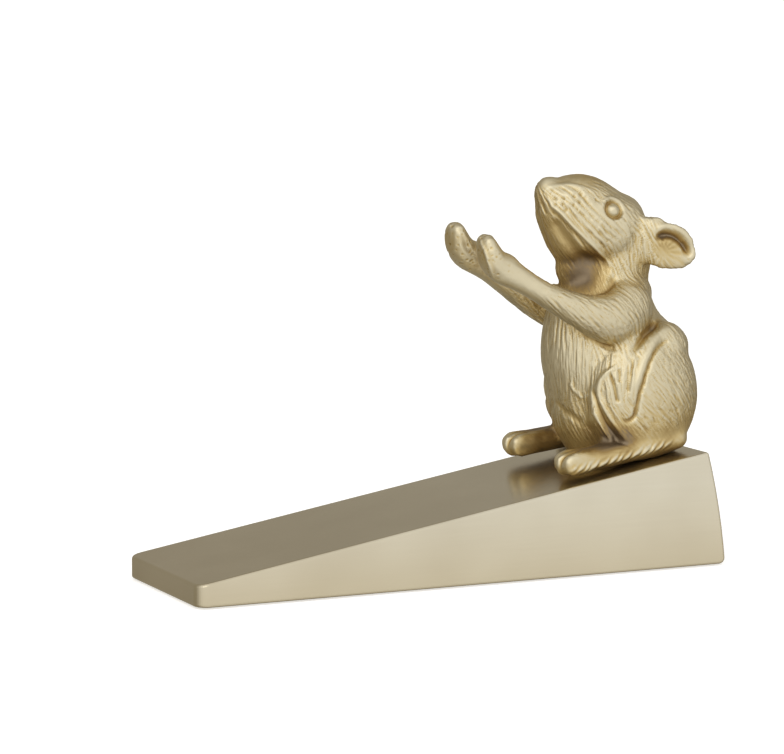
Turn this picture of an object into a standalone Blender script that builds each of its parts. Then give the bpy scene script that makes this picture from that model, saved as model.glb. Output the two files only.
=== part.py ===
"""Door stop: a cast metal wedge with a cast mouse pushing at the door, screwed together from below.

Metres, +Z up. Origin: centre of the footprint, on the underside of the rubber pad.
+X runs from the thin tip to the tall heel; the mouse sits by the heel and faces -X.
"""

from math import atan2, cos, pi, radians, sin, sqrt

import bmesh
import bpy
from mathutils import Matrix, Vector

MM = 0.001

# Driving dimensions, in millimetres.
WEDGE_LENGTH = 171.0
WEDGE_WIDTH = 56.0
TIP_HEIGHT = 6.5
HEEL_HEIGHT = 34.4
HEEL_LEAN = 6.2  # how far the heel's top edge stands in front of its foot
HEEL_BULGE = 0.8  # crown of the heel face
HEEL_FOOT_ROUND = 2.0
TIP_CORNER_ROUND = 4.0
EDGE_ROUND = 0.8

PAD_THICKNESS = 1.5
PAD_PROUD = 0.5  # how far the pad stands out under the wedge
PAD_TIP_MARGIN = 7.0
PAD_HEEL_MARGIN = 4.5
PAD_SIDE_MARGIN = 4.0
PAD_CORNER_ROUND = 3.0

SCREW_DIAMETER = 5.0
SCREW_LENGTH = 20.0
SCREW_HEAD_DIAMETER = 8.5
SCREW_HEAD_HEIGHT = 5.0
SCREW_HEAD_CHAMFER = 0.4
SCREW_SOCKET_WIDTH = 4.0  # across flats
SCREW_SOCKET_DEPTH = 2.5
SCREW_TIP_CHAMFER = 0.8
SCREW_WEB = 10.0  # metal left between a screw's seat and the ramp
WASHER_THICKNESS = 1.2
WASHER_RIM = 1.8  # radial width of the washer's section
WASHER_SPLIT = 0.8
WASHER_SLANT = 0.12  # how far the cut turns round the ring, in radians per millimetre of its thickness

SEAT_FROM_HEEL = 21.75  # the mouse's reference point, measured along X from the heel's foot
FRONT_SCREW_AHEAD = 7.0  # of the mouse's reference point
REAR_SCREW_BEHIND = 8.0
MOUSE_SCALE = 1.0
FOOT_SPREAD = 17.3  # from the middle of the mouse to the middle of a foot
TOE_SPACING = 3.3
MIDDLE_TOE_REACH = 1.2  # how far the middle toe stands out past its neighbours
EAR_TURN = 22.0  # degrees that an ear's flat side is turned forwards
RIGHT_ARM_LIFT = 2.0  # how much higher the mouse holds its right paw
RIGHT_FOOT_LIFT = 1.2  # how much its right foot is raised at the toes
FOOT_HEEL_X = 10.0  # the rear end of a foot, in the mouse's own frame
FOOT_LENGTH = 33.5  # from the heel to the roots of the toes
SKIN_VOXEL = 1.0  # the grid that joins the mouse's limbs into one skin
SKIN_SMOOTHING = 6  # rounds of softening where the limbs meet
SKIN_FACES_KEPT = 0.19  # share of the skin's faces that its form needs

FIT_GAP = 0.3  # between pieces that touch
HEAD_ROOM = 1.0  # radial room for a tool round a screw head
HOLE_SPARE = 1.5  # depth of a tapped hole past its screw's end

# Worked-out sizes.
HEEL_X = WEDGE_LENGTH / 2
TIP_X = -WEDGE_LENGTH / 2
SLOPE = (HEEL_HEIGHT - TIP_HEIGHT) / (WEDGE_LENGTH - HEEL_LEAN)
POCKET_DEPTH = PAD_THICKNESS - PAD_PROUD + FIT_GAP
SHANK_RADIUS = SCREW_DIAMETER / 2
HOLE_RADIUS = SHANK_RADIUS + FIT_GAP
WASHER_OUTER = HOLE_RADIUS + WASHER_RIM
BORE_RADIUS = max(SCREW_HEAD_DIAMETER / 2, WASHER_OUTER) + HEAD_ROOM
MOUSE_X = HEEL_X - SEAT_FROM_HEEL
FRONT_SCREW_X = MOUSE_X - FRONT_SCREW_AHEAD
REAR_SCREW_X = MOUSE_X + REAR_SCREW_BEHIND


def ramp_height(x):
    """Height of the wedge's sloping top above the ground, at x."""
    return PAD_PROUD + TIP_HEIGHT + SLOPE * (x - TIP_X)


# Meshes and objects.


def metal(name, color, roughness, metallic=1.0):
    material = bpy.data.materials.new(name)
    material.use_nodes = True
    shader = material.node_tree.nodes["Principled BSDF"]
    shader.inputs["Base Color"].default_value = (*color, 1.0)
    shader.inputs["Roughness"].default_value = roughness
    shader.inputs["Metallic"].default_value = metallic
    return material


def add_object(name, mesh_builder, material=None):
    """A mesh object in metres from a bmesh drawn in millimetres."""
    bmesh.ops.recalc_face_normals(mesh_builder, faces=mesh_builder.faces)
    bmesh.ops.scale(mesh_builder, vec=(MM, MM, MM), verts=mesh_builder.verts)
    mesh = bpy.data.meshes.new(name)
    mesh_builder.to_mesh(mesh)
    mesh_builder.free()
    made = bpy.data.objects.new(name, mesh)
    bpy.context.scene.collection.objects.link(made)
    if material:
        mesh.materials.append(material)
    return made


def shade(made, angle=35):
    made.data.shade_smooth()
    made.data.set_sharp_from_angle(angle=radians(angle))


def cutter(name, mesh_builder):
    made = add_object(name, mesh_builder)
    made.hide_render = True
    made.display_type = "WIRE"
    return made


def cut(target, tool):
    modifier = target.modifiers.new(tool.name, "BOOLEAN")
    modifier.operation = "DIFFERENCE"
    modifier.solver = "EXACT"
    modifier.object = tool


def extruded(outline, depth, axis):
    """A prism: the outline's points are full 3-D points, and it is pushed along the axis."""
    builder = bmesh.new()
    face = builder.faces.new([builder.verts.new(point) for point in outline])
    pushed = bmesh.ops.extrude_face_region(builder, geom=[face])["geom"]
    ends = [item for item in pushed if isinstance(item, bmesh.types.BMVert)]
    bmesh.ops.translate(builder, vec=Vector(axis) * depth, verts=ends)
    return builder


def rounded_plate(x_low, x_high, half_width, z_low, z_high, corner):
    outline = [(x_low, -half_width), (x_high, -half_width), (x_high, half_width), (x_low, half_width)]
    plate = extruded([(x, y, z_low) for x, y in outline], z_high - z_low, (0, 0, 1))
    uprights = [edge for edge in plate.edges if abs(edge.verts[0].co.z - edge.verts[1].co.z) > 0.1]
    bmesh.ops.bevel(plate, geom=uprights, offset=corner, segments=6, affect="EDGES", profile=0.5)
    return plate


def turned(profile, sides=32):
    """A solid of revolution about Z from (radius, z) points that start and end on the axis."""
    builder = bmesh.new()
    rings = []
    for radius, z in profile:
        if radius < 1e-6:
            rings.append([builder.verts.new((0, 0, z))])
            continue
        angles = [2 * pi * step / sides for step in range(sides)]
        rings.append([builder.verts.new((radius * cos(a), radius * sin(a), z)) for a in angles])
    for low, high in zip(rings, rings[1:]):
        for step in range(sides):
            after = (step + 1) % sides
            corners = [low[step % len(low)], low[after % len(low)]]
            corners += [high[after % len(high)], high[step % len(high)]]
            builder.faces.new(list(dict.fromkeys(corners)))
    return builder


def rod(x, radius, z_low, z_high, sides=32):
    builder = turned([(0, z_low), (radius, z_low), (radius, z_high), (0, z_high)], sides)
    bmesh.ops.translate(builder, vec=(x, 0, 0), verts=builder.verts)
    return builder


# The wedge and its pad.


def heel_point(share):
    """A point of the heel face's crown in side view, from its top (0) to its foot (1)."""
    top_x, foot_x = HEEL_X - HEEL_LEAN, HEEL_X
    x = top_x + (foot_x - top_x) * share + 4 * HEEL_BULGE * share * (1 - share)
    return (x, PAD_PROUD + HEEL_HEIGHT * (1 - share))


def build_wedge(brass):
    heel_steps = 6
    side = [(TIP_X, PAD_PROUD)]
    side += [heel_point(step / heel_steps) for step in range(heel_steps, -1, -1)]
    side.append((TIP_X, PAD_PROUD + TIP_HEIGHT))
    near = [(x, -WEDGE_WIDTH / 2, z) for x, z in side]
    block = extruded(near, WEDGE_WIDTH, (0, 1, 0))

    def at(edge, x, z=None):
        return all(abs(v.co.x - x) < 0.01 and (z is None or abs(v.co.z - z) < 0.01) for v in edge.verts)

    tip_corners = [e for e in block.edges if at(e, TIP_X) and abs(e.verts[0].co.y - e.verts[1].co.y) < 0.01]
    bmesh.ops.bevel(
        block, geom=tip_corners, offset=TIP_CORNER_ROUND, segments=10, affect="EDGES", profile=0.5
    )
    heel_foot = [e for e in block.edges if at(e, HEEL_X, PAD_PROUD)]
    bmesh.ops.bevel(
        block, geom=heel_foot, offset=HEEL_FOOT_ROUND, segments=5, affect="EDGES", profile=0.5
    )
    wedge = add_object("wedge_body", block, brass)
    edges = wedge.modifiers.new("edge_round", "BEVEL")
    edges.width = EDGE_ROUND * MM
    edges.segments = 3
    edges.limit_method = "ANGLE"
    edges.angle_limit = radians(30)

    pocket = rounded_plate(
        TIP_X + PAD_TIP_MARGIN,
        HEEL_X - PAD_HEEL_MARGIN,
        WEDGE_WIDTH / 2 - PAD_SIDE_MARGIN,
        -PAD_PROUD,
        PAD_PROUD + POCKET_DEPTH,
        PAD_CORNER_ROUND,
    )
    cut(wedge, cutter("pad_pocket", pocket))
    for place, x in (("front", FRONT_SCREW_X), ("rear", REAR_SCREW_X)):
        seat = ramp_height(x) - SCREW_WEB
        cut(wedge, cutter(f"{place}_counterbore", rod(x, BORE_RADIUS, 0, seat, 48)))
        cut(wedge, cutter(f"{place}_clearance_hole", rod(x, HOLE_RADIUS, 0, HEEL_HEIGHT * 2)))
    shade(wedge)
    return wedge


def build_pad(rubber):
    pad = rounded_plate(
        TIP_X + PAD_TIP_MARGIN + FIT_GAP,
        HEEL_X - PAD_HEEL_MARGIN - FIT_GAP,
        WEDGE_WIDTH / 2 - PAD_SIDE_MARGIN - FIT_GAP,
        0,
        PAD_THICKNESS,
        PAD_CORNER_ROUND - FIT_GAP,
    )
    made = add_object("non_slip_pad", pad, rubber)
    shade(made)
    return made


# The fixings.


def screw_head_top(x):
    """The face of the screw's head that bears on its washer."""
    return ramp_height(x) - SCREW_WEB - WASHER_THICKNESS - 2 * FIT_GAP


def build_screw(name, x, steel):
    head, shank = SCREW_HEAD_DIAMETER / 2, SHANK_RADIUS
    profile = [
        (0, -SCREW_HEAD_HEIGHT),
        (head - SCREW_HEAD_CHAMFER, -SCREW_HEAD_HEIGHT),
        (head, -SCREW_HEAD_HEIGHT + SCREW_HEAD_CHAMFER),
        (head, 0),
        (shank, 0),
        (shank, SCREW_LENGTH - SCREW_TIP_CHAMFER),
        (shank - SCREW_TIP_CHAMFER, SCREW_LENGTH),
        (0, SCREW_LENGTH),
    ]
    screw = add_object(name, turned(profile), steel)
    screw.location = (x * MM, 0, screw_head_top(x) * MM)
    corner_radius = SCREW_SOCKET_WIDTH / sqrt(3)
    socket_floor = SCREW_SOCKET_DEPTH - SCREW_HEAD_HEIGHT
    socket = turned(
        [
            (0, -2 * SCREW_HEAD_HEIGHT),
            (corner_radius, -2 * SCREW_HEAD_HEIGHT),
            (corner_radius, socket_floor),
            (0, socket_floor + corner_radius / 2),
        ],
        sides=6,
    )
    key = cutter(f"{name}_socket", socket)
    key.parent = screw
    cut(screw, key)
    shade(screw)
    return screw


def build_washer(name, x, steel):
    """A split spring washer: a flat ring of square section with one slanting cut."""
    low, high = -WASHER_THICKNESS / 2, WASHER_THICKNESS / 2
    builder = bmesh.new()
    steps = 40
    gap_angle = WASHER_SPLIT / HOLE_RADIUS
    rings = []
    for step in range(steps + 1):
        around = gap_angle / 2 + (2 * pi - gap_angle) * step / steps
        corners = [(HOLE_RADIUS, low), (WASHER_OUTER, low), (WASHER_OUTER, high), (HOLE_RADIUS, high)]
        slant = [around + z * WASHER_SLANT for _, z in corners]
        rings.append(
            [builder.verts.new((r * cos(a), r * sin(a), z)) for (r, z), a in zip(corners, slant)]
        )
    for near, far in zip(rings, rings[1:]):
        for k in range(4):
            builder.faces.new([near[k], near[(k + 1) % 4], far[(k + 1) % 4], far[k]])
    builder.faces.new(rings[0][::-1])
    builder.faces.new(rings[-1])
    washer = add_object(name, builder, steel)
    centre = ramp_height(x) - SCREW_WEB - FIT_GAP - WASHER_THICKNESS / 2
    washer.location = (x * MM, 0, centre * MM)
    shade(washer)
    return washer


# The mouse. Its own frame: origin on the ramp below its body, -X ahead of it, +Z up.


def ball(builder, centre, radii, turn=0.0):
    """A closed ellipsoid, turned about Z by some degrees."""
    placed = Matrix.Translation(centre) @ Matrix.Rotation(radians(turn), 4, "Z")
    placed = placed @ Matrix.Diagonal((*radii, 1))
    bmesh.ops.create_icosphere(builder, subdivisions=4, radius=1, matrix=placed)


def spline(stations, steps):
    """Catmull-Rom samples through tuples of numbers."""
    padded = [stations[0], *stations, stations[-1]]
    found = []
    for a, b, c, d in zip(padded, padded[1:], padded[2:], padded[3:]):
        for step in range(steps):
            t = step / steps
            found.append(
                tuple(
                    q
                    + 0.5 * t * (r - p + t * (2 * p - 5 * q + 4 * r - s + t * (3 * (q - r) + s - p)))
                    for p, q, r, s in zip(a, b, c, d)
                )
            )
    return [*found, stations[-1]]


def limb(builder, stations, facing=None, steps=5, sides=28):
    """A smooth tube with rounded ends. A station is x, y, z, half height, half width.

    The half width is across the tube near Y, and the half height is square to it.
    The sections are square to the tube's path, or all square to facing where that is given.
    """
    samples = spline(stations, steps)
    centres = [Vector(sample[:3]) for sample in samples]
    count = len(samples)
    rings = []
    for index, sample in enumerate(samples):
        tangent = centres[min(index + 1, count - 1)] - centres[max(index - 1, 0)]
        tangent = (Vector(facing) if facing else tangent).normalized()
        across = (Vector((0, 1, 0)) - tangent * tangent.y).normalized()
        rings.append((centres[index], tangent, across, tangent.cross(across), sample[3], sample[4]))

    def cap(ring, way):
        centre, tangent, across, upright, height, width = ring
        reach = min(height, width)
        return [
            (
                centre + tangent * way * reach * sin(lean),
                tangent,
                across,
                upright,
                height * cos(lean),
                width * cos(lean),
            )
            for lean in (radians(25), radians(50), radians(72))
        ]

    rings = cap(rings[0], -1)[::-1] + rings + cap(rings[-1], 1)
    loops = []
    for centre, _, across, upright, height, width in rings:
        angles = [2 * pi * k / sides for k in range(sides)]
        loops.append(
            [
                builder.verts.new(centre + across * width * cos(a) + upright * height * sin(a))
                for a in angles
            ]
        )
    for near, far in zip(loops, loops[1:]):
        for k in range(sides):
            builder.faces.new([near[k], near[(k + 1) % sides], far[(k + 1) % sides], far[k]])
    builder.faces.new(loops[0][::-1])
    builder.faces.new(loops[-1])


def both_sides(stations):
    return [[(x, side * y, *rest) for x, y, *rest in stations] for side in (-1, 1)]


def on_ramp(x, above):
    """A height above the ramp, in the mouse's own frame."""
    return SLOPE * x + above


def mouse_torso(builder):
    limb(
        builder,
        [
            (-0.5, 0, -5, 11.0, 12.0),
            (-1.3, 0, 2, 15.8, 14.5),
            (-1.8, 0, 9, 19.2, 16.8),
            (-1.5, 0, 18, 21.0, 17.8),
            (-2.3, 0, 28, 22.7, 17.8),
            (-3.0, 0, 36, 22.1, 16.8),
            (-6.1, 0, 43, 17.7, 14.8),
            (-6.7, 0, 49, 15.3, 12.8),
            (-5.0, 0, 54, 13.2, 11.8),
            (-1.5, 0, 62, 11.0, 11.0),
        ],
        facing=(0, 0, 1),
    )
    for side in (-1, 1):
        ball(builder, (-3.0, side * 7.0, 49.0), (9.2, 7.5, 8.0))
        ball(builder, (7.0, side * 12.0, 33.4), (9.0, 8.4, 8.0))


def mouse_head(builder):
    limb(
        builder,
        [
            (-0.6, 0, 64.0, 11.2, 10.8),
            (-4.9, 0, 67.8, 13.9, 12.8),
            (-11.8, 0, 70.2, 14.2, 12.3),
            (-17.6, 0, 75.5, 12.0, 9.6),
            (-22.1, 0, 78.9, 8.8, 6.9),
            (-25.0, 0, 80.0, 4.6, 4.4),
        ],
        facing=(-0.72, 0, 0.69),
    )
    ball(builder, (-12.5, 0, 56.8), (9.2, 7.0, 7.5))


def mouse_ears(builder):
    for side in (-1, 1):
        ball(builder, (8.6, side * 14.0, 63.4), (8.0, 1.9, 7.2), turn=side * EAR_TURN)
        ball(builder, (10.6, side * 14.6, 61.4), (6.6, 1.9, 5.2), turn=side * EAR_TURN)
        ball(builder, (4.2, side * 11.8, 65.4), (6.5, 2.4, 7.6), turn=side * EAR_TURN)


def mouse_arms(builder):
    arm = [
        (-3.5, 11.0, 45.8, 8.4, 7.5),
        (-10.0, 14.5, 42.8, 8.2, 6.5),
        (-19.5, 15.5, 44.6, 5.8, 5.6),
        (-31.5, 14.0, 50.2, 3.7, 4.7),
        (-39.5, 12.2, 55.1, 3.8, 4.2),
        (-45.5, 11.0, 58.8, 4.9, 4.4),
    ]
    paw = [
        (-44.5, 11.0, 58.6, 4.8, 4.3),
        (-48.2, 10.6, 60.8, 4.2, 4.9),
        (-49.7, 10.4, 64.0, 3.5, 4.9),
        (-50.6, 10.2, 66.8, 2.7, 4.3),
    ]
    for side, lift in ((-1, 0.0), (1, RIGHT_ARM_LIFT)):
        for stations in (arm, paw):
            raised = [
                (x, side * y, z + lift * min(1, (x - arm[0][0]) / (arm[-1][0] - arm[0][0])), *rest)
                for x, y, z, *rest in stations
            ]
            limb(builder, raised)


def mouse_haunches(builder):
    for side in (-1, 1):
        ball(builder, (0.4, side * 14.0, 19.0), (18.0, 9.5, 21.0))
    knee = [
        (-2.0, 14.0, 33.0, 5.0, 4.0),
        (-8.5, 15.5, 26.0, 6.4, 5.5),
        (-9.5, 16.0, 18.0, 6.4, 6.0),
        (-5.0, 16.5, 9.0, 6.5, 5.5),
    ]
    for side in both_sides(knee):
        limb(builder, side)


def raised_limb(builder, stations, side, toe_lift):
    """A limb that follows the ramp on one side. A station is x, y, height above the ramp, half sizes."""
    raised = []
    for x, y, above, half_height, half_width in stations:
        lift = toe_lift * min(1, (FOOT_HEEL_X - x) / FOOT_LENGTH)
        raised.append((x, side * y, on_ramp(x, above + lift), half_height, half_width))
    limb(builder, raised)


def mouse_feet(builder):
    foot = [
        (FOOT_HEEL_X, FOOT_SPREAD, 4.2, 3.5, 4.2),
        (-5.0, FOOT_SPREAD, 4.4, 3.8, 4.8),
        (-17.0, FOOT_SPREAD, 4.6, 3.9, 5.0),
        (FOOT_HEEL_X - FOOT_LENGTH, FOOT_SPREAD, 4.6, 3.8, 5.0),
    ]
    for side, toe_lift in ((-1, 0.0), (1, RIGHT_FOOT_LIFT)):
        raised_limb(builder, foot, side, toe_lift)
        for spread in (-1, 0, 1):
            y = FOOT_SPREAD + spread * TOE_SPACING
            reach = MIDDLE_TOE_REACH if spread == 0 else 0.0
            toe = [
                (-21.5, y, 4.7, 3.4, 1.9),
                (-26.2 - reach, y, 4.8, 3.7, 1.9),
                (-28.0 - reach, y, 4.6, 3.2, 1.6),
            ]
            raised_limb(builder, toe, side, toe_lift)


def mouse_tail(builder):
    limb(
        builder,
        [
            (15.0, 0.0, on_ramp(15, 8.0), 3.2, 3.2),
            (17.5, 7.0, on_ramp(17.5, 4.0), 2.6, 2.6),
            (14.5, 15.5, on_ramp(14.5, 2.6), 2.3, 2.3),
            (8.0, 22.5, on_ramp(8, 2.4), 2.0, 2.0),
            (0.0, 25.4, on_ramp(0, 2.2), 1.7, 1.7),
            (-8.0, 25.6, on_ramp(-8, 2.0), 1.3, 1.3),
        ],
        sides=16,
    )


def build_mouse(brass):
    builder = bmesh.new()
    for shape in (
        mouse_torso,
        mouse_head,
        mouse_ears,
        mouse_arms,
        mouse_haunches,
        mouse_feet,
        mouse_tail,
    ):
        shape(builder)
    bmesh.ops.scale(builder, vec=(MOUSE_SCALE,) * 3, verts=builder.verts)
    mouse = add_object("mouse_figure", builder, brass)
    mouse.location = (MOUSE_X * MM, 0, ramp_height(MOUSE_X) * MM)

    skin = mouse.modifiers.new("one_skin", "REMESH")
    skin.mode = "VOXEL"
    skin.voxel_size = SKIN_VOXEL * MM
    soft = mouse.modifiers.new("soft_creases", "SMOOTH")
    soft.factor = 0.5
    soft.iterations = SKIN_SMOOTHING
    lean = mouse.modifiers.new("fewer_faces", "DECIMATE")
    lean.ratio = SKIN_FACES_KEPT

    tilt = atan2(SLOPE, 1)
    seat = bmesh.new()
    bmesh.ops.create_cube(seat, size=1)
    reach, depth = 2 * WEDGE_LENGTH, HEEL_HEIGHT
    bmesh.ops.scale(seat, vec=(reach, 3 * WEDGE_WIDTH, depth), verts=seat.verts)
    bmesh.ops.translate(seat, vec=(0, 0, FIT_GAP - depth / 2), verts=seat.verts)
    bmesh.ops.rotate(seat, matrix=Matrix.Rotation(-tilt, 3, "Y"), verts=seat.verts)
    bmesh.ops.translate(seat, vec=(MOUSE_X, 0, ramp_height(MOUSE_X)), verts=seat.verts)
    cut(mouse, cutter("mouse_seat", seat))
    for place, x in (("front", FRONT_SCREW_X), ("rear", REAR_SCREW_X)):
        end = screw_head_top(x) + SCREW_LENGTH + HOLE_SPARE
        hole = rod(x, HOLE_RADIUS, 0, end)
        cut(mouse, cutter(f"{place}_tapped_hole", hole))
    shade(mouse, 60)
    return mouse


def main():
    for old in list(bpy.data.objects):
        bpy.data.objects.remove(old, do_unlink=True)
    brass = metal("satin_brass", (0.60, 0.52, 0.36), 0.32)
    antique = metal("cast_brass", (0.62, 0.49, 0.27), 0.38)
    rubber = metal("black_rubber", (0.02, 0.02, 0.02), 0.85, metallic=0.0)
    steel = metal("zinc_steel", (0.55, 0.56, 0.58), 0.35)
    build_wedge(brass)
    build_pad(rubber)
    build_mouse(antique)
    for place, x in (("front", FRONT_SCREW_X), ("rear", REAR_SCREW_X)):
        build_screw(f"{place}_fixing_screw", x, steel)
        build_washer(f"{place}_spring_washer", x, steel)


main()
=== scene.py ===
"""The looks of the door stop: a satin brass wedge and a cast mouse with sculpted fur.

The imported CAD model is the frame. The mouse's plain CAD solid becomes a fine, even skin, and the eyes,
ears, paws, creases and fur are pressed into that skin. Its shapes are written in millimetres, in the
mouse's own space: origin on the ramp below its body, -X ahead of it, +Z up. The mouse's left side is
written, at -Y, and both sides take it.
"""

from math import cos, pi, radians, sin

import bmesh
import bpy
import numpy as np
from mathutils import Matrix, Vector
from mathutils.bvhtree import BVHTree
from mathutils.kdtree import KDTree


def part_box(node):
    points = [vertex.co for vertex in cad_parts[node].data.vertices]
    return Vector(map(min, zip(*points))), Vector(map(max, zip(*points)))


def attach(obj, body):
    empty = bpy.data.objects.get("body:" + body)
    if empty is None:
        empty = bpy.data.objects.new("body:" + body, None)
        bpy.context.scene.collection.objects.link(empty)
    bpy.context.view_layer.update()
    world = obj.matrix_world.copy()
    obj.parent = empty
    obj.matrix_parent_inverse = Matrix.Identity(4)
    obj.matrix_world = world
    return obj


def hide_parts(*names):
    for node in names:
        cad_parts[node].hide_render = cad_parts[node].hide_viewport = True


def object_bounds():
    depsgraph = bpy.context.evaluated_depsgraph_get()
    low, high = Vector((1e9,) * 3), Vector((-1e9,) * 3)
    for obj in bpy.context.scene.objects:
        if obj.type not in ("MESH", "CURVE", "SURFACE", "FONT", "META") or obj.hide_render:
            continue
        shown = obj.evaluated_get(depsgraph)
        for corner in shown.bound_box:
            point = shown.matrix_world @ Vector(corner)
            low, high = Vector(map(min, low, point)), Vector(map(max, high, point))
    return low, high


MM = 0.001

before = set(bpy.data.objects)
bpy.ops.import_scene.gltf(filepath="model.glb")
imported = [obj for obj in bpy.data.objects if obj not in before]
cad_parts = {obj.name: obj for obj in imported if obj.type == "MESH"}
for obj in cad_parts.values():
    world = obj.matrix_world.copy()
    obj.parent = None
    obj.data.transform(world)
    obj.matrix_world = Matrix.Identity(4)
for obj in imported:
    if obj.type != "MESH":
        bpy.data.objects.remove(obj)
cad_low, cad_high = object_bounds()

# The mouse's reference point, from the box of its CAD node.
PAW_REACH = 53.14 * MM  # how far the paws reach ahead of it
CROWN_HEIGHT = 85.17 * MM  # how far the top of the head stands above it
mouse_low, mouse_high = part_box("mouse_figure")
MOUSE_ORIGIN = Vector((mouse_low.x + PAW_REACH, 0, mouse_high.z - CROWN_HEIGHT))

# The skin.
VOXEL = 0.32  # grain of the skin
FACET_ROUNDS = 26  # rounds of smoothing that take out the CAD facets
SNOUT = (-26.0, 0, 81.0)
SNOUT_RADIUS = 6.5
SNOUT_ROUNDS = 90  # rounds that round the snout off

# The fur.
COMB_STEP = 0.5  # length of one step along a hair
COARSE_REACH = 11  # steps each way that a broad stroke of the fur runs
FINE_REACH = 9
FUR_DEPTH = 0.16
PIT_DEPTH = 0.14

# The mouse's form.
RAMP_SLOPE = 0.1693
ARM_ROOT_X = -3.5
ARM_LENGTH = 42.0
ARM_LIFT = 2.0  # how much higher the right paw is held
FOOT_HEEL_X = 10.0
FOOT_LENGTH = 33.5
FOOT_LIFT = 1.2  # how much the right foot is raised at its toes
EYE = (-8.1, -11.1, 75.2)
EAR = (9.2, -14.1, 63.2)
EAR_TURN = radians(22)  # how far the ear's hollow side is turned forwards
EAR_ROOT = (-2.5, -1.0)  # where the folds in the ear spread from, back along it and up
EAR_FOLDS = 15
CHEEK_LOCKS = 4
LOCK_STEP = (1.46, 1.36)  # from one lock of the cheek to the next, back and up
ROPE_PITCH = 2.3  # from one turn of the roped edge of the foot to the next


# Numbers over the skin.


def fade(value, low, high):
    """0 below low, 1 above high, smooth between."""
    share = np.clip((value - low) / (high - low), 0, 1)
    return share * share * (3 - 2 * share)


def rounded(route, steps=5):
    """A Catmull-Rom curve through the points of a route."""
    points = np.array([route[0], *route, route[-1]], float)
    found = []
    for a, b, c, d in zip(points, points[1:], points[2:], points[3:]):
        for step in range(steps):
            t = step / steps
            bend = t * (2 * a - 5 * b + 4 * c - d + t * (3 * (b - c) + d - a))
            found.append(b + 0.5 * t * (c - a + bend))
    return np.array([*found, points[-1]])


class Skin:
    """The mouse's surface as arrays: points in millimetres, normals, and who neighbours whom."""

    def __init__(self, mesh):
        self.mesh = mesh
        count = len(mesh.vertices)
        self.points = np.empty(count * 3)
        mesh.vertices.foreach_get("co", self.points)
        self.points = (self.points.reshape(-1, 3) - np.array(MOUSE_ORIGIN)) / MM
        edges = np.empty(len(mesh.edges) * 2, np.int32)
        mesh.edges.foreach_get("vertices", edges)
        self.edges = edges.reshape(-1, 2)
        self.degree = np.bincount(edges, minlength=count).astype(float)

    def write(self):
        world = self.points * MM + np.array(MOUSE_ORIGIN)
        self.mesh.vertices.foreach_set("co", world.astype(np.float32).ravel())
        self.mesh.update()

    def read_normals(self):
        self.write()
        normals = np.empty(len(self.points) * 3, np.float32)
        self.mesh.vertex_normals.foreach_get("vector", normals)
        self.normals = normals.reshape(-1, 3).astype(float)

    def neighbour_mean(self, values):
        a, b = self.edges.T
        size = len(self.degree)
        if values.ndim == 1:
            total = np.bincount(a, values[b], size) + np.bincount(b, values[a], size)
            return total / self.degree
        return np.stack([self.neighbour_mean(column) for column in values.T], axis=1)

    def blur(self, values, rounds):
        for _ in range(rounds):
            values = 0.5 * (values + self.neighbour_mean(values))
        return values

    def smooth_shape(self, rounds):
        """Taubin's smoothing: a step in and a step out, which keeps the volume."""
        for _ in range(rounds):
            for step in (0.62, -0.64):
                self.points += step * (self.neighbour_mean(self.points) - self.points)

    def push(self, heights):
        self.points += self.normals * heights[:, None]

    def shelter(self, samples=7000, rays=36, reach=30.0, clearance=0.3, lean=1.05):
        """How much of the space near each point the mouse and the ramp close off, from 0 to 1.

        Random rays leave a sample of the points and lean towards the normal there. Every point takes the
        mean of its three nearest samples.
        """
        random = np.random.default_rng(7)
        faces = [tuple(face.vertices) for face in self.mesh.polygons]
        tree = BVHTree.FromPolygons(self.points.tolist(), faces)
        chosen = random.choice(len(self.points), samples, replace=False)
        sampled = KDTree(samples)
        shares = np.zeros(samples)
        for place, index in enumerate(chosen):
            point, normal = self.points[index], self.normals[index]
            sampled.insert(point, place)
            ways = random.standard_normal((rays, 3))
            ways /= np.linalg.norm(ways, axis=1)[:, None]
            ways += normal * lean
            ways /= np.linalg.norm(ways, axis=1)[:, None]
            start = point + clearance * normal
            ends = start + reach * ways
            below = ends[:, 2] < RAMP_SLOPE * ends[:, 0]
            hits = sum(
                low or tree.ray_cast(start, way, reach)[0] is not None
                for way, low in zip(ways, below)
            )
            shares[place] = hits / rays
        sampled.balance()
        nearest = [[found[1] for found in sampled.find_n(point, 3)] for point in self.points]
        return self.blur(shares[np.array(nearest)].mean(1), 12)


def above_ramp(points):
    return points[:, 2] - RAMP_SLOPE * points[:, 0]


def near_side(points):
    """The points with the mouse's right side laid over its left one."""
    x, y, z = points.T
    folded = points.copy()
    folded[:, 1] = -np.abs(y)
    arm = (y > 0) & (x < -26) & (z > 36)
    foot = (y > 0) & (x < FOOT_HEEL_X) & (above_ramp(points) < 12)
    folded[:, 2] -= np.where(arm, ARM_LIFT * np.clip((ARM_ROOT_X - x) / ARM_LENGTH, 0, 1), 0)
    folded[:, 2] -= np.where(foot, FOOT_LIFT * np.clip((FOOT_HEEL_X - x) / FOOT_LENGTH, 0, 1), 0)
    return folded


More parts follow.
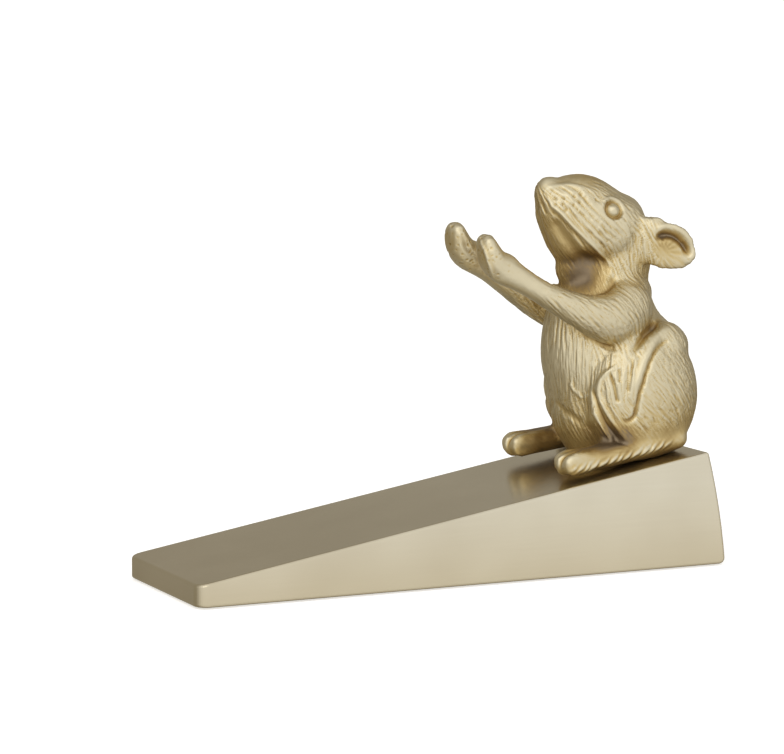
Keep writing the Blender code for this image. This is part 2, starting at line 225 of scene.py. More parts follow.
def stroke(points, route, height, width, ends=0.15):
    """Height of a rounded ridge, or a groove if negative, along a route. It fades at its ends."""
    curve = rounded(route)
    margin = 3 * width
    inside = np.all((points > curve.min(0) - margin) & (points < curve.max(0) + margin), axis=1)
    local = points[inside]
    best = np.full(len(local), 1e9)
    place = np.zeros(len(local))
    legs = np.diff(curve, axis=0)
    lengths = np.linalg.norm(legs, axis=1)
    starts = np.concatenate([[0], np.cumsum(lengths)[:-1]])
    for start, leg, length, so_far in zip(curve, legs, lengths, starts):
        if length < 1e-6:
            continue
        t = np.clip((local - start) @ leg / length**2, 0, 1)
        gap = ((local - start - t[:, None] * leg) ** 2).sum(1)
        nearer = gap < best
        best[nearer] = gap[nearer]
        place[nearer] = so_far + t[nearer] * length
    share = place / lengths.sum()
    taper = fade(share, -0.02, ends) * fade(1 - share, -0.02, ends) if ends else 1.0
    found = np.zeros(len(points))
    found[inside] = height * np.exp(-best / width**2) * taper
    return found


def dab(points, centre, height, radius):
    """A round bump, or a pit if negative."""
    gap = ((points - np.array(centre)) ** 2).sum(1)
    return height * np.exp(-gap / radius**2)


# The mouse's features, on its left side: x, y, z in millimetres.


def eye(points):
    radius = np.linalg.norm(points - np.array(EYE), axis=1)
    below = fade(-points[:, 2], -76.5, -73.0)
    above = fade(points[:, 2], 74.5, 77.5)
    ring = -(0.75 + 0.5 * below) * np.exp(-(((radius - 2.55) / 0.62) ** 2))
    ball = 0.5 * np.clip(1 - (radius / 2.3) ** 2, 0, 1)
    bead = 0.5 * np.exp(-((radius / 1.1) ** 2))
    lid = 0.45 * above * np.exp(-(((radius - 3.8) / 0.8) ** 2))
    corner = [(-10.6, -10.4, 76.6), (-12.2, -9.8, 77.6), (-14.0, -9.0, 78.2)]
    return ring + ball + bead + lid + stroke(points, corner, -0.4, 0.5)


def head(points):
    jaw = [
        (-27.2, -3.6, 79.2),
        (-25.9, -4.8, 76.5),
        (-23.6, -6.8, 73.9),
        (-21.1, -8.6, 70.6),
        (-18.2, -10.3, 67.3),
        (-14.8, -11.0, 63.9),
        (-10.2, -9.5, 60.2),
        (-7.6, -10.8, 56.8),
    ]
    under = [
        (-25.6, -4.0, 72.8),
        (-23.7, -5.4, 69.2),
        (-20.9, -6.8, 64.9),
        (-17.3, -7.4, 61.5),
        (-12.3, -7.4, 58.2),
    ]
    chin = [(-28.3, 0, 74.5), (-27, 0, 70), (-25.5, 0, 65), (-22.5, 0, 60)]
    brow = [
        (-27.6, -2.6, 80.6),
        (-24.6, -3.7, 82.0),
        (-21.2, -4.3, 82.3),
        (-17.6, -6.1, 81.6),
        (-13.9, -7.7, 80.3),
        (-11.2, -8.3, 79.6),
    ]
    heights = stroke(points, jaw, 0.8, 0.8)
    heights += stroke(points, under, -0.9, 2.1)
    heights += stroke(points, chin, -0.5, 1.6)
    heights += stroke(points, brow, 0.3, 0.8)
    whiskers = [
        (-25.0, -5.1, 78.5),
        (-23.1, -6.7, 76.9),
        (-22.7, -7.3, 75.0),
        (-19.7, -7.3, 79.1),
        (-17.6, -7.5, 79.7),
        (-22.7, -6.4, 78.6),
        (-20.4, -8.0, 76.6),
        (-16.4, -8.2, 78.6),
        (-25.2, -5.2, 76.4),
        (-18.6, -8.7, 77.6),
    ]
    for spot in whiskers:
        heights += dab(points, spot, -0.4, 0.6)
    # The locks of the cheek are cut square to the side view, along the jaw.
    side_view = points * (1, 0, 1)
    for lock in range(1, CHEEK_LOCKS + 1):
        back, up = LOCK_STEP[0] * lock, LOCK_STEP[1] * lock
        route = [(x + back, 0, z + up) for x, _, z in jaw[1:7]]
        heights += stroke(side_view, route, -0.38, 0.5, ends=0.25) * (points[:, 1] < -2)
    bridge = [(-25.5, 0, 83.0), (-23.0, 0, 84.0), (-20.5, 0, 85.0)]
    heights += stroke(points, bridge, 0.75, 2.4, ends=0)
    nape = (2.5, -3.0, 76.5)
    heights += dab(points, nape, -1.0, 6.0)
    return heights


def throat(points):
    collar = [(-9.0, -11.0, 55.5), (-9.5, -12.0, 52.8), (-14.0, -13.0, 50.8), (-20.0, -13.0, 50.5)]
    hollow = (-16.5, -7.0, 55.0)
    return dab(points, hollow, -0.9, 4.2) + stroke(points, collar, -0.7, 1.1)


def ear_frame(points):
    """Coordinates in the ear's plate: back along it, up, and out of its hollow side."""
    local = points - np.array(EAR)
    back = local[:, 0] * cos(EAR_TURN) - local[:, 1] * sin(EAR_TURN)
    out = -local[:, 0] * sin(EAR_TURN) - local[:, 1] * cos(EAR_TURN)
    return back, local[:, 2], out


def ear(points, normals):
    back, up, out = ear_frame(points)
    facing = -normals[:, 0] * sin(EAR_TURN) - normals[:, 1] * cos(EAR_TURN)
    plate = np.stack([back, up, np.zeros(len(back))], axis=1)
    front = fade(facing, 0.05, 0.5) * fade(back, -6.5, -4.0) * (np.abs(out) < 4)
    crescent = [
        (-4.2, 2.0, 0),
        (-3.2, 3.4, 0),
        (-1.0, 4.0, 0),
        (1.4, 3.2, 0),
        (3.6, 1.4, 0),
        (5.2, -0.8, 0),
        (5.8, -3.0, 0),
    ]
    rim = [
        (-4.8, 5.0, 0),
        (-1.5, 6.6, 0),
        (2.0, 6.0, 0),
        (5.0, 3.8, 0),
        (6.8, 0.6, 0),
        (7.0, -2.6, 0),
        (5.2, -5.2, 0),
    ]
    hollow = stroke(plate, crescent, -1.9, 1.2, ends=0.2)
    lip = stroke(plate, rim, 0.6, 1.0, ends=0.2)
    root_back, root_up = EAR_ROOT
    radius = np.hypot(back - root_back, up - root_up)
    angle = np.arctan2(up - root_up, back - root_back)
    bowl = -0.6 * np.exp(-((back - 1.5) ** 2 + (up + 0.5) ** 2) / 16)
    folds = 0.045 * np.sin(EAR_FOLDS * angle) * fade(radius, 1.5, 3.0) * fade(-radius, -8.0, -6.5)
    return front * (hollow + lip + bowl + folds * (up < 3.0))


def arm(points):
    under = [
        (-28.5, -15.3, 43.9),
        (-24.2, -14.5, 41.2),
        (-19.1, -11.7, 38.4),
        (-16.9, -13.9, 36.4),
        (-14.1, -15.2, 34.9),
        (-11.4, -16.7, 34.4),
        (-9.0, -17.8, 35.2),
    ]
    return stroke(points, under, -0.7, 0.9, ends=0.25)


def paw(points):
    palm_edge = [
        (-52.0, -9.6, 69.0),
        (-52.6, -10.6, 67.8),
        (-52.4, -12.8, 64.9),
        (-51.6, -13.8, 61.7),
        (-50.3, -13.3, 58.3),
        (-47.9, -11.3, 55.3),
    ]
    heights = stroke(points, palm_edge, 0.4, 0.6)
    for shift in (-1.5, 0.0, 1.5):
        y = -10.2 + shift
        finger_gap = [(-49.3, y, 63.5), (-49.8, y, 66.0), (-50.8, y, 69.3), (-52.6, y, 68.6)]
        heights += stroke(points, finger_gap, -0.35, 0.4)
    return heights


def haunch(points):
    crease = [
        (10.5, -8.5, 41.5),
        (6.3, -12.3, 40.7),
        (2.1, -16.1, 39.4),
        (-1.1, -18.0, 37.9),
        (-3.4, -19.1, 36.0),
        (-5.5, -19.8, 34.0),
        (-7.0, -20.1, 31.5),
    ]
    ridge = [
        (13.0, -11.0, 38.6),
        (9.7, -15.1, 38.4),
        (4.9, -17.3, 37.8),
        (1.0, -19.4, 35.9),
        (-1.4, -20.8, 33.2),
        (-3.4, -21.7, 30.2),
        (-4.9, -22.2, 27.3),
        (-6.1, -22.5, 24.3),
        (-7.3, -22.6, 20.8),
        (-8.0, -22.4, 17.0),
    ]
    groove = [
        (12.0, -15.5, 37.0),
        (9.5, -17.2, 36.6),
        (6.3, -18.7, 35.9),
        (3.3, -19.6, 34.7),
        (0.6, -20.8, 32.7),
        (-1.2, -21.6, 30.4),
        (-2.7, -22.2, 27.6),
        (-4.0, -22.6, 24.8),
        (-5.1, -22.7, 21.7),
        (-5.9, -22.7, 18.8),
        (-6.4, -22.6, 16.2),
        (-7.0, -22.3, 14.0),
        (-8.4, -21.9, 12.8),
        (-10.0, -21.5, 13.0),
        (-11.4, -21.2, 14.4),
    ]
    heights = stroke(points, crease, -1.5, 1.0, ends=0.3)
    back = (14.0, -9.5, 40.0)
    heights += dab(points, back, -1.2, 4.5)
    heights += stroke(points, ridge, 0.95, 1.6, ends=0.25)
    heights += stroke(points, groove, -0.85, 0.7)
    thigh_ridge = [(-5.3, -20.8, 31.7), (-6.9, -21.5, 28.5), (-8.0, -22.1, 23.0), (-8.6, -22.2, 19.0)]
    thigh_groove = [(-6.4, -20.9, 30.5), (-8.3, -21.5, 26.0), (-9.2, -21.9, 21.0)]
    knee_groove = [(-14.2, -19.0, 27.3), (-13.5, -19.7, 25.6), (-12.9, -20.6, 22.6), (-12.2, -21.3, 18.0)]
    knee_nick = [(-11.2, -19.9, 28.4), (-11.1, -20.6, 26.4), (-11.5, -21.1, 24.0)]
    heights += stroke(points, thigh_ridge, 0.3, 0.6)
    heights += stroke(points, thigh_groove, -0.3, 0.5)
    heights += stroke(points, knee_groove, -0.75, 0.6)
    heights += stroke(points, knee_nick, -0.4, 0.5)
    knee = [
        (-10.8, -19.3, 29.0),
        (-13.7, -18.6, 27.6),
        (-15.7, -17.4, 25.1),
        (-16.5, -17.0, 22.2),
        (-16.3, -17.5, 19.5),
        (-15.3, -18.5, 16.6),
        (-13.8, -19.5, 13.6),
        (-11.4, -20.3, 10.4),
        (-9.1, -20.6, 7.4),
        (-6.5, -21.0, 5.4),
    ]
    below = [
        (-17.8, -14.8, 22.5),
        (-17.2, -16.3, 18.0),
        (-16.2, -17.4, 14.6),
        (-14.6, -18.2, 11.2),
        (-12.6, -18.9, 8.4),
        (-10.2, -19.6, 6.0),
        (-7.2, -20.8, 4.4),
    ]
    heights += stroke(points, knee, 0.6, 0.8)
    heights += stroke(points, below, -1.1, 0.9)
    shin = [(-17.6, -14.9, 15.5), (-16.2, -16.6, 11.8), (-14.2, -17.6, 8.6), (-12.0, -18.2, 6.4)]
    heights += stroke(points, shin, 0.45, 0.6)
    return heights


def belly(points):
    fold = [(-21.5, -8.0, 23.5), (-20.1, -9.3, 20.6), (-18.8, -11.0, 18.9), (-17.6, -13.2, 20.5)]
    groin = [(-23.4, 0, 17.0), (-22.0, -4.4, 14.4), (-20.3, -7.8, 12.5), (-18.2, -10.3, 10.8)]
    heights = stroke(points, fold, 0.4, 0.6)
    heights += stroke(points, groin, -0.6, 1.3)
    inner_thigh = (-17.0, -12.8, 12.5)
    heights += dab(points, inner_thigh, 0.7, 2.6)
    return heights


def foot(points):
    rope = [
        (-29.3, -20.6, -1.0),
        (-26.9, -21.8, -0.8),
        (-21.9, -22.0, -0.2),
        (-16.9, -22.1, 0.6),
        (-11.9, -22.2, 1.6),
        (-6.8, -22.0, 2.6),
        (-1.6, -21.8, 3.6),
        (3.7, -21.5, 4.8),
        (8.0, -20.6, 5.8),
    ]
    x, _, z = points.T
    wander = 0.9 * np.sin(0.55 * x) + 0.5 * np.sin(1.7 * x + 1.0)
    twist = 0.5 + 0.5 * np.sin(2 * pi * (x - 0.9 * z) / ROPE_PITCH + wander)
    heights = stroke(points, rope, 0.8, 1.1) * (0.4 + 0.6 * twist)
    instep = [(-25.0, -16.5, 4.4), (-19.0, -17.0, 5.2), (-12.0, -18.0, 6.0), (-6.0, -18.8, 6.6)]
    heights += stroke(points, instep, -0.5, 1.8, ends=0.3)
    for y in (-15.65, -18.95):
        gap = [(-22.5, y, 4.6), (-26.5, y, 4.2), (-29.2, y, 2.8), (-30.5, y, 0.4), (-30.5, y, -2.5)]
        heights += stroke(points, gap, -0.8, 0.6, ends=0.2)
    return heights


# The lie of the fur: a point of the left side, and the way that the hairs run there.
COMB = [
    ((-26, -4, 78), (0.60, -0.20, -0.77)),
    ((-20, -8.5, 72), (0.60, -0.20, -0.77)),
    ((-14, -11, 64), (0.55, -0.10, -0.83)),
    ((-8, -11, 57), (0.40, -0.10, -0.90)),
    ((-17, -9, 76), (0.48, -0.30, -0.84)),
    ((-12, -11.5, 70), (0.42, -0.10, -0.90)),
    ((-7, -12, 67), (0.35, 0.00, -0.93)),
    ((-3, -12, 71), (0.55, 0.00, -0.84)),
    ((0, -10, 64), (0.12, 0.00, -1.00)),
    ((3, -8, 57), (0.06, 0.00, -1.00)),
    ((-22, 0, 84), (0.98, 0.00, -0.10)),
    ((-11, -4, 83), (0.85, 0.00, -0.50)),
    ((-2, -4, 80), (0.70, 0.00, -0.70)),
    ((4, 0, 73), (0.50, 0.00, -0.87)),
    ((7, 0, 60), (0.10, 0.00, -1.00)),
    ((-25, -2, 68), (0.35, 0.00, -0.94)),
    ((-20, -5, 62), (0.50, -0.10, -0.85)),
    ((-24, 0, 36), (0.00, 0.00, -1.00)),
    ((-23, -4, 22), (0.05, 0.00, -1.00)),
    ((-20, -10, 32), (0.10, 0.00, -1.00)),
    ((-18, -13, 22), (0.15, 0.00, -1.00)),
    ((-20, -7, 11), (0.35, -0.20, -0.90)),
    ((-38, -16, 55), (0.86, 0.00, -0.50)),
    ((-30, -17, 52), (0.80, 0.00, -0.60)),
    ((-19, -20, 47), (0.70, 0.00, -0.71)),
    ((-12, -19, 42), (0.68, 0.10, -0.72)),
    ((-5, -16, 48), (0.40, 0.00, -0.92)),
    ((2, -13, 46), (0.20, 0.00, -0.98)),
    ((8, -6, 46), (0.10, 0.00, -1.00)),
    ((-10, -17, 38), (0.50, 0.10, -0.86)),
    ((1, -22, 30), (0.48, -0.10, -0.86)),
    ((7, -21, 26), (0.45, 0.00, -0.88)),
    ((-2, -23, 17), (0.60, 0.00, -0.80)),
    ((5, -22, 12), (0.55, 0.00, -0.80)),
    ((-9, -21, 26), (-0.12, -0.10, -1.00)),
    ((-14, -19, 23), (0.12, -0.20, -1.00)),
    ((-13, -19, 12), (0.50, -0.20, -0.80)),
    ((15, -10, 32), (0.20, 0.00, -0.97)),
    ((18, 0, 22), (0.00, 0.00, -1.00)),
    ((16, -6, 12), (0.00, 0.00, -1.00)),
    ((11, -15.5, 63), (0.75, -0.30, -0.60)),
    ((-15, -20, 2), (0.90, 0.00, 0.20)),
]


def comb_direction(points, normals):
    flow = np.zeros_like(points)
    for place, way in COMB:
        gap = ((points - np.array(place)) ** 2).sum(1)
        flow += np.array(way) / ((gap + 6.0) ** 1.6)[:, None]
    flow -= normals * (flow * normals).sum(1)[:, None]
    length = np.linalg.norm(flow, axis=1)
    return flow / np.maximum(length, 1e-9)[:, None]


def comb_tables(points, flow):
    """For each point, the points that lie one step along its hair and one step against it."""
    tree = KDTree(len(points))
    for index, point in enumerate(points):
        tree.insert(point, index)
    tree.balance()
    ahead = np.array([tree.find(p)[1] for p in points + flow * COMB_STEP])
    behind = np.array([tree.find(p)[1] for p in points - flow * COMB_STEP])
    return ahead, behind


def combed(values, ahead, behind, reach):
    """Each point's mean along its hair, weighted to fade at both ends."""
    total, weight_sum = values.copy(), 1.0
    for table in (ahead, behind):
        index = np.arange(len(values))
        for step in range(1, reach + 1):
            index = table[index]
            weight = 0.5 + 0.5 * cos(pi * step / (reach + 1))
            total += weight * values[index]
            weight_sum += weight
    return total / weight_sum


def fur(skin, folded, flow_sign):
    """Height of the fur, from about -1 in a groove to about 1 on a ridge."""
    random = np.random.default_rng(4)
    flow = comb_direction(folded, skin.normals * flow_sign) * flow_sign
    ahead, behind = comb_tables(skin.points, flow)

    def layer(grain, reach):
        noise = skin.blur(random.standard_normal(len(folded)), grain)
        lines = combed(noise, ahead, behind, reach)
        lines -= skin.blur(lines, 14)
        return lines / lines.std()

    coarse = layer(3, COARSE_REACH)
    fine = layer(1, FINE_REACH)
    cuts = 1 - 2.2 * np.exp(-((coarse / 0.42) ** 2))
    hatching = 1 - 2.0 * np.exp(-((fine / 0.5) ** 2))
    head_share = fade(folded[:, 2], 52, 60)
    strands = np.tanh(0.7 * layer(5, COARSE_REACH))
    cut_share = 0.45 + 0.15 * head_share
    hatching_share = 0.38 - 0.13 * head_share
    return 0.55 * strands + cut_share * cuts + hatching_share * hatching


def fur_amount(points):
    """How furry the casting is, from 0 on the bare paws to 1."""
    x, y, z = points.T
    back, up, out = ear_frame(points)
    paws = fade(-x, 30, 40) * (z > 40)
    throat_hollow = 0.9 * np.exp(-((x + 16) ** 2 + (y + 5) ** 2 + (z - 53.5) ** 2) / 30)
    nose = 0.8 * fade(z, 80.5, 83) * fade(-x, 8, 14)
    ears = 0.6 * fade(back, -6, -3) * (np.abs(out) < 4) * (np.hypot(back, up) < 9)
    under_jaw = 0.65 * np.exp(-((x + 22) ** 2 + (y + 3) ** 2 + (z - 66) ** 2) / 60)
    feet = 0.85 * (1 - fade(above_ramp(points), 7, 11))
    amount = np.ones(len(points))
    for bare in (paws, throat_hollow, nose, ears, under_jaw, feet):
        amount *= 1 - bare
    return amount


def pits(skin):
    """Depth of the casting's small pits, which are on the paws alone."""
    grit = skin.blur(np.random.default_rng(9).standard_normal(len(skin.points)), 5)
    paws = fade(-skin.points[:, 0], 43, 47)
    return PIT_DEPTH * paws * np.clip(grit / grit.std() - 0.9, 0, 1.6)


# Dabs of painted shade, or of painted highlight if the last number is negative: a point of the left
# side, a radius, and how much.
PAINTED_SHADE_AND_HIGHLIGHT = [
    ((-17, -6, 55.5), 7.0, 0.60),
    ((-22, -5, 66), 7.0, 0.10),
    ((-26, -3, 72), 4.5, 0.15),
    ((-19, -8, 11), 9.0, 0.14),
    ((-20, -8, 30), 9.0, -0.12),
    ((-9, -19, 7), 4.5, 0.65),
    ((-16, -19, 5.5), 4.5, 0.75),
    ((-23, -18, 4), 3.5, 0.45),
    ((-22, -22.5, -0.6), 3.0, -0.35),
    ((-13, -22.8, 0.6), 3.5, -0.40),
    ((-3, -22.5, 2.6), 4.0, -0.35),
    ((-12, -12, 70), 7.0, -0.12),
    ((6.5, -13.5, 65.5), 3.2, 0.35),
    ((11, -15, 65), 4.5, 0.22),
    ((4, -8, 58), 7.0, 0.12),
    ((-29, 0, 79), 4.0, 0.25),
    ((-12, 0, 84), 8.0, 0.28),
    ((-52, -10.5, 63), 5.0, 0.22),
    ((12, -10, 56), 6.0, 0.25),
    ((15, 0, 10), 12.0, 0.20),
]


def patina_and_painted_shade(skin):
    """How dark the casting is painted, 0 to 1. Patina stays in what is sunk and is rubbed off what stands
    out;
    painted shade is added where the mouse and the ramp close off the space near a point.
    """
    folded = near_side(skin.points)

    def sunk(rounds):
        gap = ((skin.blur(skin.points, rounds) - skin.points) * skin.normals).sum(1)
        return np.clip(gap / gap.std(), -2.5, 2.5)

    grooves = skin.blur(sunk(3), 1)
    hollows = sunk(16)
    # The grooves and hollows terms are patina; the shelter term is painted shade.
    dark = 0.25 + 0.13 * grooves + 0.06 * hollows + 0.55 * skin.shelter()
    # Each dab adds painted shade, or painted highlight where it is negative.
    for place, radius, amount in PAINTED_SHADE_AND_HIGHLIGHT:
        dark += dab(folded, place, amount, radius)
    return np.clip(dark, 0, 1)


def fine_mesh(node, voxel):
    """A closed copy of a CAD node's mesh, rebuilt with small, even faces."""
    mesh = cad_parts[node].data.copy()
    welder = bmesh.new()
    welder.from_mesh(mesh)
    bmesh.ops.remove_doubles(welder, verts=welder.verts, dist=1e-6)
    welder.to_mesh(mesh)
    welder.free()
    holder = bpy.data.objects.new("fine_mesh_work", mesh)
    bpy.context.scene.collection.objects.link(holder)
    remesh = holder.modifiers.new("even", "REMESH")
    remesh.mode = "VOXEL"
    remesh.voxel_size = voxel * MM
    graph = bpy.context.evaluated_depsgraph_get()
    made = bpy.data.meshes.new_from_object(holder.evaluated_get(graph))
    made.materials.clear()
    bpy.data.objects.remove(holder)
    bpy.data.meshes.remove(mesh)
    return made


def sculpted_mouse():
    """The mouse as it is seen: its CAD solid's skin, smoothed, with features, fur, patina and painted
    shade.
    """
    mesh = fine_mesh("mouse_figure", VOXEL)
    skin = Skin(mesh)
    skin.smooth_shape(FACET_ROUNDS)
    soft = skin.blur(skin.points, SNOUT_ROUNDS)
    share = np.clip(dab(skin.points, SNOUT, 1.3, SNOUT_RADIUS), 0, 1)[:, None]
    skin.points += share * (soft - skin.points)
    skin.read_normals()
    folded = near_side(skin.points)
    side = np.where(skin.points[:, 1:2] > 0, (1, -1, 1), (1, 1, 1))
    normals = skin.normals * side
    heights = eye(folded) + head(folded) + throat(folded) + arm(folded) + paw(folded)
    heights += haunch(folded) + belly(folded) + foot(folded) + ear(folded, normals)
    carved = skin.blur(np.abs(heights), 4)
    skin.push(heights)
    skin.read_normals()
    amount = fur_amount(near_side(skin.points)) * (1 - 0.75 * fade(carved, 0.15, 0.55))
    hairs = fur(skin, near_side(skin.points), side)
    skin.push(FUR_DEPTH * amount * hairs - pits(skin))
    skin.read_normals()

    # The hollow attribute holds the patina together with the painted shade and painted highlight.
    hollow = patina_and_painted_shade(skin)
    layer = mesh.attributes.new("hollow", "FLOAT", "POINT")
    layer.data.foreach_set("value", hollow.astype(np.float32))
    mesh.shade_smooth()
    made = bpy.data.objects.new("cast_mouse", mesh)
    bpy.context.scene.collection.objects.link(made)
    return made


# Materials.


class Nodes:
    """A material's node tree, with short calls to add nodes and join them."""

    def __init__(self, name):
        self.material = bpy.data.materials.new(name)
        self.material.use_nodes = True
        self.tree = self.material.node_tree
        self.shader = self.tree.nodes["Principled BSDF"]

    def add(self, kind, settings=None, **inputs):
        node = self.tree.nodes.new(kind)
        for key, value in (settings or {}).items():
            setattr(node, key, value)
        for key, value in inputs.items():
            self.feed(node, key.replace("_", " "), value)
        return node

    def feed(self, node, socket, value):
        target = node.inputs[socket]
        if isinstance(value, bpy.types.NodeSocket):
            self.tree.links.new(value, target)
        else:
            target.default_value = value

    def place(self, scale=(1, 1, 1)):
        """Position in the row frame, in millimetres, stretched."""
        where = self.add("ShaderNodeNewGeometry").outputs["Position"]
        sized = self.add("ShaderNodeVectorMath", {"operation": "MULTIPLY"})
        self.tree.links.new(where, sized.inputs[0])
        sized.inputs[1].default_value = [factor / MM for factor in scale]
        return sized.outputs[0]

    def noise(self, where, scale, detail=2.0, roughness=0.5):
        settings = {"Scale": scale, "Detail": detail, "Roughness": roughness}
        return self.add("ShaderNodeTexNoise", Vector=where, **settings).outputs["Fac"]

    def span(self, value, from_low, from_high, to_low, to_high):
        node = self.add("ShaderNodeMapRange", Value=value)
        for name, number in (
            ("From Min", from_low),
            ("From Max", from_high),
            ("To Min", to_low),
            ("To Max", to_high),
        ):
            node.inputs[name].default_value = number
        return node.outputs["Result"]

    def ramp(self, value, *stops):
        node = self.add("ShaderNodeValToRGB", Fac=value)
        band = node.color_ramp
        while len(band.elements) < len(stops):
            band.elements.new(0.5)
        for element, (place, colour) in zip(band.elements, stops):
            element.position = place
            element.color = (*colour, 1)
        return node.outputs["Color"]

    def bump(self, height, distance, strength):
        node = self.add("ShaderNodeBump", Height=height, Strength=strength, Distance=distance * MM)
        return node.outputs["Normal"]


def satin_brass():
    made = Nodes("satin_brass")
    streaks = made.noise(made.place((0.02, 1.0, 1.0)), 2.2, 4.0, 0.6)
    cloud = made.noise(made.place(), 0.03, 2.0)
    # The colour is darker and warmer towards the bottom of the wedge: a painted shade.
    height = made.add("ShaderNodeSeparateXYZ", Vector=made.place()).outputs["Z"]
    drift = made.span(cloud, 0.3, 0.7, 0, 1)
    painted_low_shade = made.ramp(drift, (0, (0.55, 0.475, 0.325)), (1, (0.60, 0.525, 0.37)))
    pale = made.ramp(drift, (0, (0.63, 0.575, 0.445)), (1, (0.69, 0.635, 0.50)))
    mix = made.add("ShaderNodeMix", {"data_type": "RGBA"}, Factor=made.span(height, 1, 26, 0, 1))
    made.feed(mix, "A", painted_low_shade)
    made.feed(mix, "B", pale)
    made.feed(made.shader, "Base Color", mix.outputs["Result"])
    made.feed(made.shader, "Metallic", 1.0)
    made.feed(made.shader, "Roughness", made.span(streaks, 0.3, 0.7, 0.20, 0.27))
    made.feed(made.shader, "Normal", made.bump(streaks, 0.01, 0.35))
    return made.material


def cast_brass():
    made = Nodes("cast_brass")
    hollow = made.add("ShaderNodeAttribute", {"attribute_name": "hollow"}).outputs["Fac"]
    speckle = made.noise(made.place(), 1.5, 3.0, 0.65)
    # The colour darkens with the hollow attribute: patina, painted shade and painted highlight.
    colour = made.ramp(
        hollow,
        (0.22, (0.69, 0.61, 0.42)),
        (0.46, (0.60, 0.465, 0.225)),
        (0.72, (0.40, 0.275, 0.11)),
        (0.98, (0.27, 0.205, 0.13)),
    )
    made.feed(made.shader, "Base Color", colour)
    made.feed(made.shader, "Metallic", 1.0)
    made.feed(made.shader, "Roughness", made.span(hollow, 0.35, 0.75, 0.42, 0.55))
    made.feed(made.shader, "Normal", made.bump(speckle, 0.07, 0.6))
    return made.material


def black_rubber():
    made = Nodes("black_rubber")
    grain = made.noise(made.place(), 3.0, 3.0)
    colour = made.ramp(grain, (0.3, (0.010, 0.010, 0.010)), (0.7, (0.028, 0.027, 0.025)))
    made.feed(made.shader, "Base Color", colour)
    made.feed(made.shader, "Roughness", made.span(grain, 0.3, 0.7, 0.7, 0.9))
    made.feed(made.shader, "Normal", made.bump(grain, 0.05, 0.6))
    return made.material


def zinc_steel():
    made = Nodes("zinc_steel")
    cloud = made.noise(made.place(), 0.9, 4.0)
    colour = made.ramp(cloud, (0.3, (0.50, 0.51, 0.53)), (0.7, (0.62, 0.63, 0.64)))
    made.feed(made.shader, "Base Color", colour)
    made.feed(made.shader, "Metallic", 1.0)
    made.feed(made.shader, "Roughness", made.span(cloud, 0.3, 0.7, 0.3, 0.45))
    made.feed(made.shader, "Normal", made.bump(cloud, 0.01, 0.4))
    return made.material


def repaint(node, material):
    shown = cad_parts[node]
    shown.data.materials.clear()
    shown.data.materials.append(material)


# The studio.

LIGHT_SIDE = (-0.17, -0.94, 0.30)  # the way to the middle of the large soft light
FAR_LIGHT = (0.38, 0.35, 0.29, 1)
NEAR_LIGHT = (1.02, 1.02, 1.02, 1)
FLOOR_REACH = 40.0  # metres from the middle of the floor to its edges
FLOOR_GLOW = 0.55
CAMERA_AIM = (-12.40, 0, 0.52)  # what it looks at, from the middle of the CAD box, in millimetres
CAMERA_TURN = radians(24.901)  # from +Y towards +X
CAMERA_TILT = radians(7.236)  # downwards
CAMERA_DISTANCE = 1.03208
CAMERA_LENS = 160.714


def floor():
    made = Nodes("pale_floor")
    made.feed(made.shader, "Base Color", (0.88, 0.88, 0.88, 1))
    made.feed(made.shader, "Roughness", 0.9)
    made.feed(made.shader, "Emission Color", (1, 1, 1, 1))
    made.feed(made.shader, "Emission Strength", FLOOR_GLOW)
    mesh = bpy.data.meshes.new("floor")
    corners = [(x * FLOOR_REACH, y * FLOOR_REACH, 0) for x, y in ((-1, -1), (1, -1), (1, 1), (-1, 1))]
    mesh.from_pydata(corners, [], [(0, 1, 2, 3)])
    mesh.materials.append(made.material)
    made_floor = bpy.data.objects.new("floor", mesh)
    bpy.context.scene.collection.objects.link(made_floor)
    made_floor.visible_glossy = False


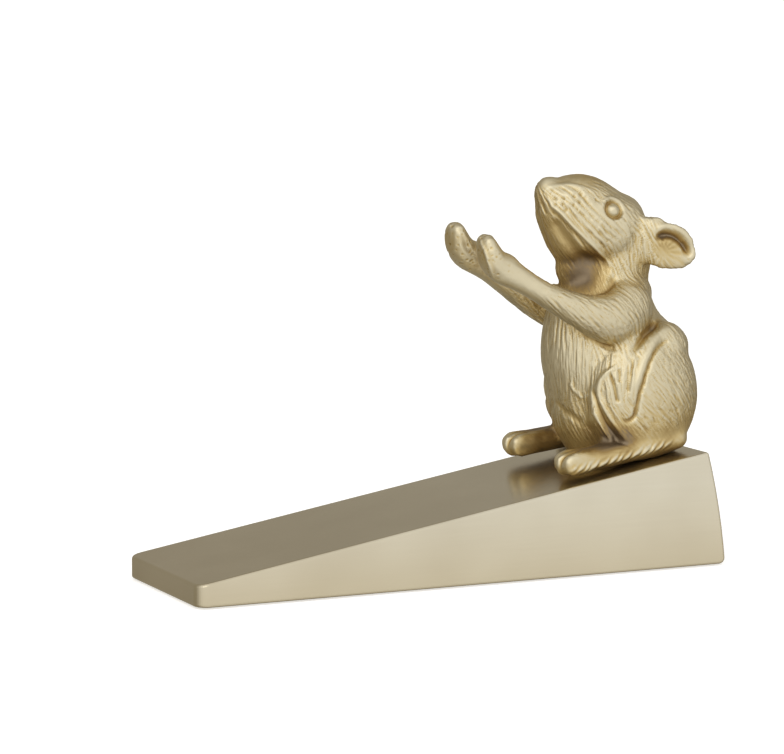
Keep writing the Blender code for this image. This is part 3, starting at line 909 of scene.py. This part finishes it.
def studio_world():
    """A large soft light in front and above, dim behind and below. The camera itself sees plain white."""
    world = bpy.data.worlds.new("studio")
    world.use_nodes = True
    bpy.context.scene.world = world
    tree = world.node_tree
    sky = tree.nodes["Background"]
    way = tree.nodes.new("ShaderNodeTexCoord").outputs["Generated"]
    towards = tree.nodes.new("ShaderNodeVectorMath")
    towards.operation = "DOT_PRODUCT"
    tree.links.new(way, towards.inputs[0])
    towards.inputs[1].default_value = LIGHT_SIDE
    share = tree.nodes.new("ShaderNodeMapRange")
    share.interpolation_type = "SMOOTHSTEP"
    tree.links.new(towards.outputs["Value"], share.inputs["Value"])
    share.inputs["From Min"].default_value = -0.30
    share.inputs["From Max"].default_value = 0.77
    mix = tree.nodes.new("ShaderNodeMix")
    mix.data_type = "RGBA"
    tree.links.new(share.outputs["Result"], mix.inputs["Factor"])
    mix.inputs["A"].default_value = FAR_LIGHT
    mix.inputs["B"].default_value = NEAR_LIGHT
    tree.links.new(mix.outputs["Result"], sky.inputs["Color"])
    seen = tree.nodes.new("ShaderNodeBackground")
    seen.inputs["Color"].default_value = (1, 1, 1, 1)
    path = tree.nodes.new("ShaderNodeLightPath")
    choose = tree.nodes.new("ShaderNodeMixShader")
    tree.links.new(path.outputs["Is Camera Ray"], choose.inputs["Fac"])
    tree.links.new(sky.outputs[0], choose.inputs[1])
    tree.links.new(seen.outputs[0], choose.inputs[2])
    tree.links.new(choose.outputs[0], tree.nodes["World Output"].inputs["Surface"])


def soft_light(name, place, aim, size, power):
    lamp = bpy.data.lights.new(name, "AREA")
    lamp.size = size
    lamp.energy = power
    made = bpy.data.objects.new(name, lamp)
    made.location = place
    made.rotation_euler = (Vector(aim) - Vector(place)).to_track_quat("-Z", "Y").to_euler()
    bpy.context.scene.collection.objects.link(made)


def camera():
    target = (cad_low + cad_high) / 2 + Vector(CAMERA_AIM) * MM
    level = cos(CAMERA_TILT)
    ahead = Vector((sin(CAMERA_TURN) * level, cos(CAMERA_TURN) * level, -sin(CAMERA_TILT)))
    lens = bpy.data.cameras.new("camera")
    lens.lens = CAMERA_LENS
    lens.sensor_width = 36.0
    lens.clip_start, lens.clip_end = 0.05, 100.0
    made = bpy.data.objects.new("camera", lens)
    made.location = target - ahead * CAMERA_DISTANCE
    made.rotation_euler = ahead.to_track_quat("-Z", "Y").to_euler()
    bpy.context.scene.collection.objects.link(made)
    bpy.context.scene.camera = made


camera()
floor()
studio_world()
soft_light("key_light", place=(-0.9, -1.1, 1.0), aim=(0, 0, 0.05), size=1.4, power=4.0)
bpy.context.scene.view_settings.view_transform = "Standard"

brass = satin_brass()
steel = zinc_steel()
repaint("wedge_body", brass)
repaint("non_slip_pad", black_rubber())
for place in ("front", "rear"):
    repaint(f"{place}_fixing_screw", steel)
    repaint(f"{place}_spring_washer", steel)

mouse = sculpted_mouse()
mouse.data.materials.append(cast_brass())
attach(mouse, "root")
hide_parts("mouse_figure")
